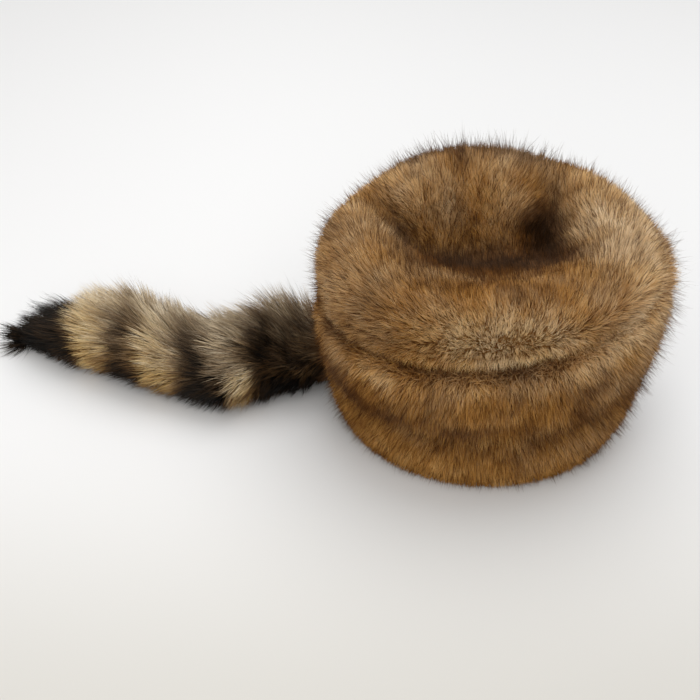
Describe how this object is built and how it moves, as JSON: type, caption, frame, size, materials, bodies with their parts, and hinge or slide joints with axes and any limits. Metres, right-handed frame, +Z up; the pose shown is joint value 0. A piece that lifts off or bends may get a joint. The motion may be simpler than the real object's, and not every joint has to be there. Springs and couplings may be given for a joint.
{
  "type": "fur cap with ringed tail",
  "caption": "Round deep fur cap with a dented, puffed crown, open below for the head, and a thick ringed fur tail that lies behind it.",
  "frame": {"origin": "middle of the whole object's box, on the surface that the cap's hem and the tail rest on", "axes": "+X from the tail's tip towards the cap's front, +Y to the side that the tail's tip bends to, +Z up through the crown"},
  "size_m": [0.5134, 0.2428, 0.1771],
  "materials": {
    "crown_fur": "dense combed fur, light tan over brown with dark hair tips",
    "band_fur": "dense combed fur, mid brown with tan hair and dark tips, leather side inwards",
    "tail_fur": "long guard hair in blond and black-brown rings, black tip"
  },
  "bodies": {
    "root": {"crown": "crown_fur", "band": "band_fur", "tail": "tail_fur"}
  },
  "joints": []
}
